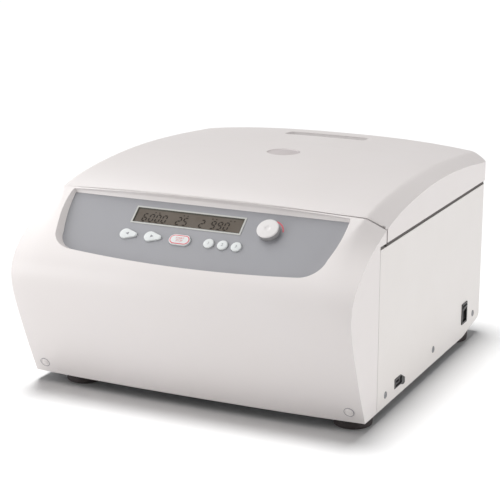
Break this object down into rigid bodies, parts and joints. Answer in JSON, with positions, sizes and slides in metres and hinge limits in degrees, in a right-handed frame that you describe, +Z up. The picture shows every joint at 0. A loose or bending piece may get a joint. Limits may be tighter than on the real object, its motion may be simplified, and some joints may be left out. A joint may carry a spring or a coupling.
{
  "type": "low-speed benchtop centrifuge",
  "caption": "Low-speed benchtop centrifuge with a hinged lid, swing-out rotor in a steel chamber, sloping control panel with display, keys and knob, side power switch and rubber feet.",
  "frame": {"origin": "bench level, below the centre of the whole machine", "axes": "+Z up, front towards -Y, +X to the right of someone facing the front"},
  "size_m": [0.4342, 0.4817, 0.2554],
  "materials": {
    "cream_plastic": "smooth warm white moulding",
    "cream_paint": "smooth warm white powder coat",
    "panel_grey": "satin blue-grey film",
    "frame_pale": "satin pale line",
    "display_dark": "dark olive display glass",
    "board_green": "green laminate",
    "key_pale": "satin pale keys",
    "key_red": "satin red",
    "knob_pale": "satin warm white",
    "window_grey": "smoked window",
    "black_plastic": "satin black",
    "dark_grey_plastic": "satin dark grey",
    "rubber_black": "matt rubber",
    "steel": "brushed",
    "zinc": "zinc plated sheet",
    "cast_alloy": "satin cast",
    "bright_steel": "polished",
    "insert_blue": "satin blue polymer"
  },
  "bodies": {
    "case": {"base_plate": "zinc", "chamber_bowl": "steel", "chamber_gasket": "rubber_black", "control_board": "board_green", "control_panel": "panel_grey", "cover_screws": "bright_steel", "deck": "zinc", "display_frame": "frame_pale", "display_window": "display_dark", "fascia_plugs": "cream_plastic", "foot_screws": "zinc", "frame_posts": "zinc", "front_fascia": "cream_plastic", "front_rail": "cream_paint", "guard_ring": "zinc", "hinge_brackets": "zinc", "hinge_pins": "bright_steel", "inverter_board": "board_green", "latch_housing": "zinc", "latch_motor": "black_plastic", "motor_dampers": "rubber_black", "motor_housing": "cast_alloy", "power_board": "board_green", "power_inlet": "black_plastic", "release_bezel": "black_plastic", "rim_seal": "rubber_black", "rubber_feet": "rubber_black", "side_cover": "cream_paint", "spindle_boot": "rubber_black", "switch_bezel": "black_plastic"},
    "lid": {"lid_shell": "cream_plastic", "lid_pocket": "cream_plastic", "lid_window": "window_grey", "window_tube": "dark_grey_plastic", "lid_liner": "steel", "lid_strikers": "steel", "lid_arms": "zinc"},
    "rotor": {"spindle": "bright_steel", "rotor_yoke": "cast_alloy", "rotor_nut": "bright_steel"},
    "left_key": {"key_left": "key_pale"},
    "middle_key": {"key_middle": "key_pale"},
    "start_key": {"start_stop_key": "key_pale", "start_key_ring": "key_red"},
    "round_key_1": {"small_key_1": "key_pale"},
    "round_key_2": {"small_key_2": "key_pale"},
    "round_key_3": {"small_key_3": "key_pale"},
    "knob": {"selector_knob": "knob_pale"},
    "rocker": {"switch_rocker": "black_plastic"},
    "latch": {"latch_bar": "zinc"},
    "release": {"release_tab": "dark_grey_plastic"},
    "bucket_body_1": {"bucket_1": "cast_alloy", "bucket_insert_1": "insert_blue"},
    "bucket_body_2": {"bucket_2": "cast_alloy", "bucket_insert_2": "insert_blue"},
    "bucket_body_3": {"bucket_3": "cast_alloy", "bucket_insert_3": "insert_blue"},
    "bucket_body_4": {"bucket_4": "cast_alloy", "bucket_insert_4": "insert_blue"}
  },
  "joints": [
    {"name": "lid_hinge", "type": "hinge", "parent": "case", "child": "lid", "pos_m": [0, 0.2288, 0.202], "axis": [-1, 0, 0], "range_deg": [0, 75]},
    {"name": "rotor_spin", "type": "hinge", "parent": "case", "child": "rotor", "pos_m": [0, 0.0548, 0.162], "axis": [0, 0, 1], "continuous": true},
    {"name": "left_key_press", "type": "slide", "parent": "case", "child": "left_key", "axis": [0, 0.6361, -0.7716], "range_m": [0, 0.001], "stiffness_N_per_m": 300},
    {"name": "middle_key_press", "type": "slide", "parent": "case", "child": "middle_key", "axis": [0, 0.6361, -0.7716], "range_m": [0, 0.001], "stiffness_N_per_m": 300},
    {"name": "start_key_press", "type": "slide", "parent": "case", "child": "start_key", "axis": [0, 0.6361, -0.7716], "range_m": [0, 0.001], "stiffness_N_per_m": 300},
    {"name": "round_key_1_press", "type": "slide", "parent": "case", "child": "round_key_1", "axis": [0, 0.6361, -0.7716], "range_m": [0, 0.001], "stiffness_N_per_m": 300},
    {"name": "round_key_2_press", "type": "slide", "parent": "case", "child": "round_key_2", "axis": [0, 0.6361, -0.7716], "range_m": [0, 0.001], "stiffness_N_per_m": 300},
    {"name": "round_key_3_press", "type": "slide", "parent": "case", "child": "round_key_3", "axis": [0, 0.6361, -0.7716], "range_m": [0, 0.001], "stiffness_N_per_m": 300},
    {"name": "knob_turn", "type": "hinge", "parent": "case", "child": "knob", "pos_m": [0.088, -0.1717, 0.21365], "axis": [0, -0.6361, 0.7716], "continuous": true},
    {"name": "rocker_tilt", "type": "hinge", "parent": "case", "child": "rocker", "pos_m": [0.2115, 0.1568, 0.0442], "axis": [0, -1, 0], "range_deg": [0, 10]},
    {"name": "latch_slide", "type": "slide", "parent": "case", "child": "latch", "axis": [-1, 0, 0], "range_m": [0, 0.008]},
    {"name": "release_pull", "type": "slide", "parent": "case", "child": "release", "axis": [1, 0, 0], "range_m": [0, 0.008], "stiffness_N_per_m": 200},
    {"name": "bucket_swing_1", "type": "hinge", "parent": "rotor", "child": "bucket_body_1", "pos_m": [0.082, 0.0548, 0.162], "axis": [0, -1, 0], "range_deg": [0, 90]},
    {"name": "bucket_swing_2", "type": "hinge", "parent": "rotor", "child": "bucket_body_2", "pos_m": [0, 0.1368, 0.162], "axis": [1, 0, 0], "range_deg": [0, 90]},
    {"name": "bucket_swing_3", "type": "hinge", "parent": "rotor", "child": "bucket_body_3", "pos_m": [-0.082, 0.0548, 0.162], "axis": [0, 1, 0], "range_deg": [0, 90]},
    {"name": "bucket_swing_4", "type": "hinge", "parent": "rotor", "child": "bucket_body_4", "pos_m": [0, -0.0272, 0.162], "axis": [-1, 0, 0], "range_deg": [0, 90]}
  ]
}
